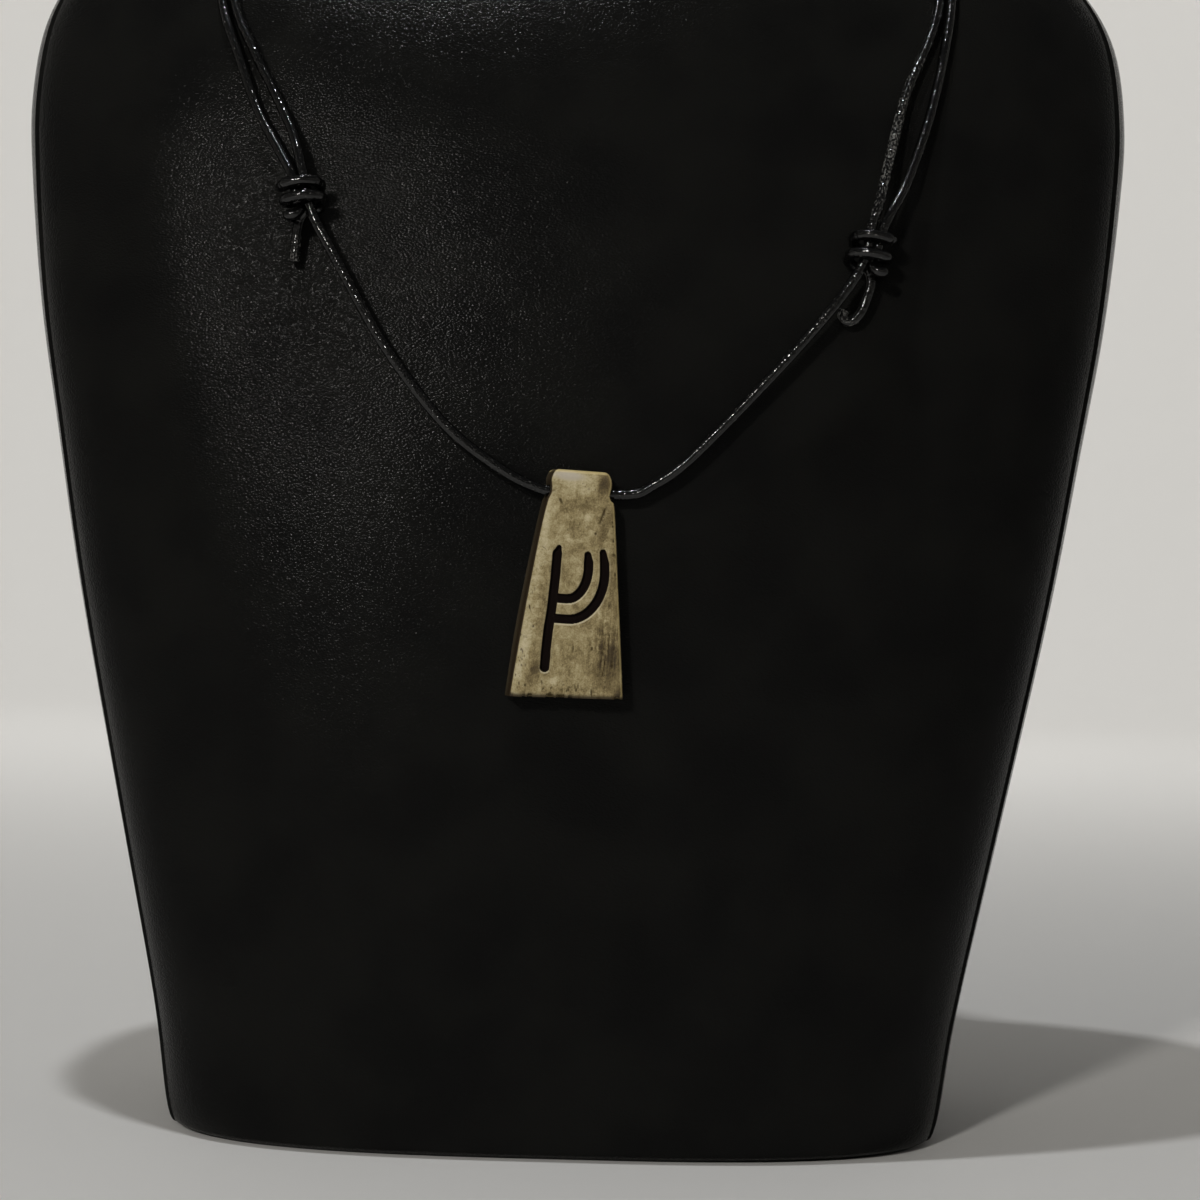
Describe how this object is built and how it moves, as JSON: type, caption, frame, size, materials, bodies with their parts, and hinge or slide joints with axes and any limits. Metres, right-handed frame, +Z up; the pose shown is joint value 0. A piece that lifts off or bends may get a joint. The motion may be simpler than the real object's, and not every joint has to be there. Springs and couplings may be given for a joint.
{
  "type": "bone rune pendant on a sliding-knot cord, on a neck bust",
  "caption": "Flat tapered bone pendant with a carved rune, on a black leather cord with sliding knots, worn by a plain black leatherette neck bust.",
  "frame": {"origin": "middle of the flat underside of the bust, on the surface it stands on", "axes": "+Z up, the chest and the pendant face -Y, +X to the right in the front view"},
  "size_m": [0.218, 0.1201, 0.31],
  "materials": {
    "leatherette": "black pebble-grained leatherette, satin",
    "bone": "polished aged bone with dark-stained carving",
    "cord_leather": "black round leather, waxed"
  },
  "bodies": {
    "root": {"bust": "leatherette", "pendant": "bone", "cord": "cord_leather", "left_knot": "cord_leather", "right_knot": "cord_leather"}
  },
  "joints": []
}
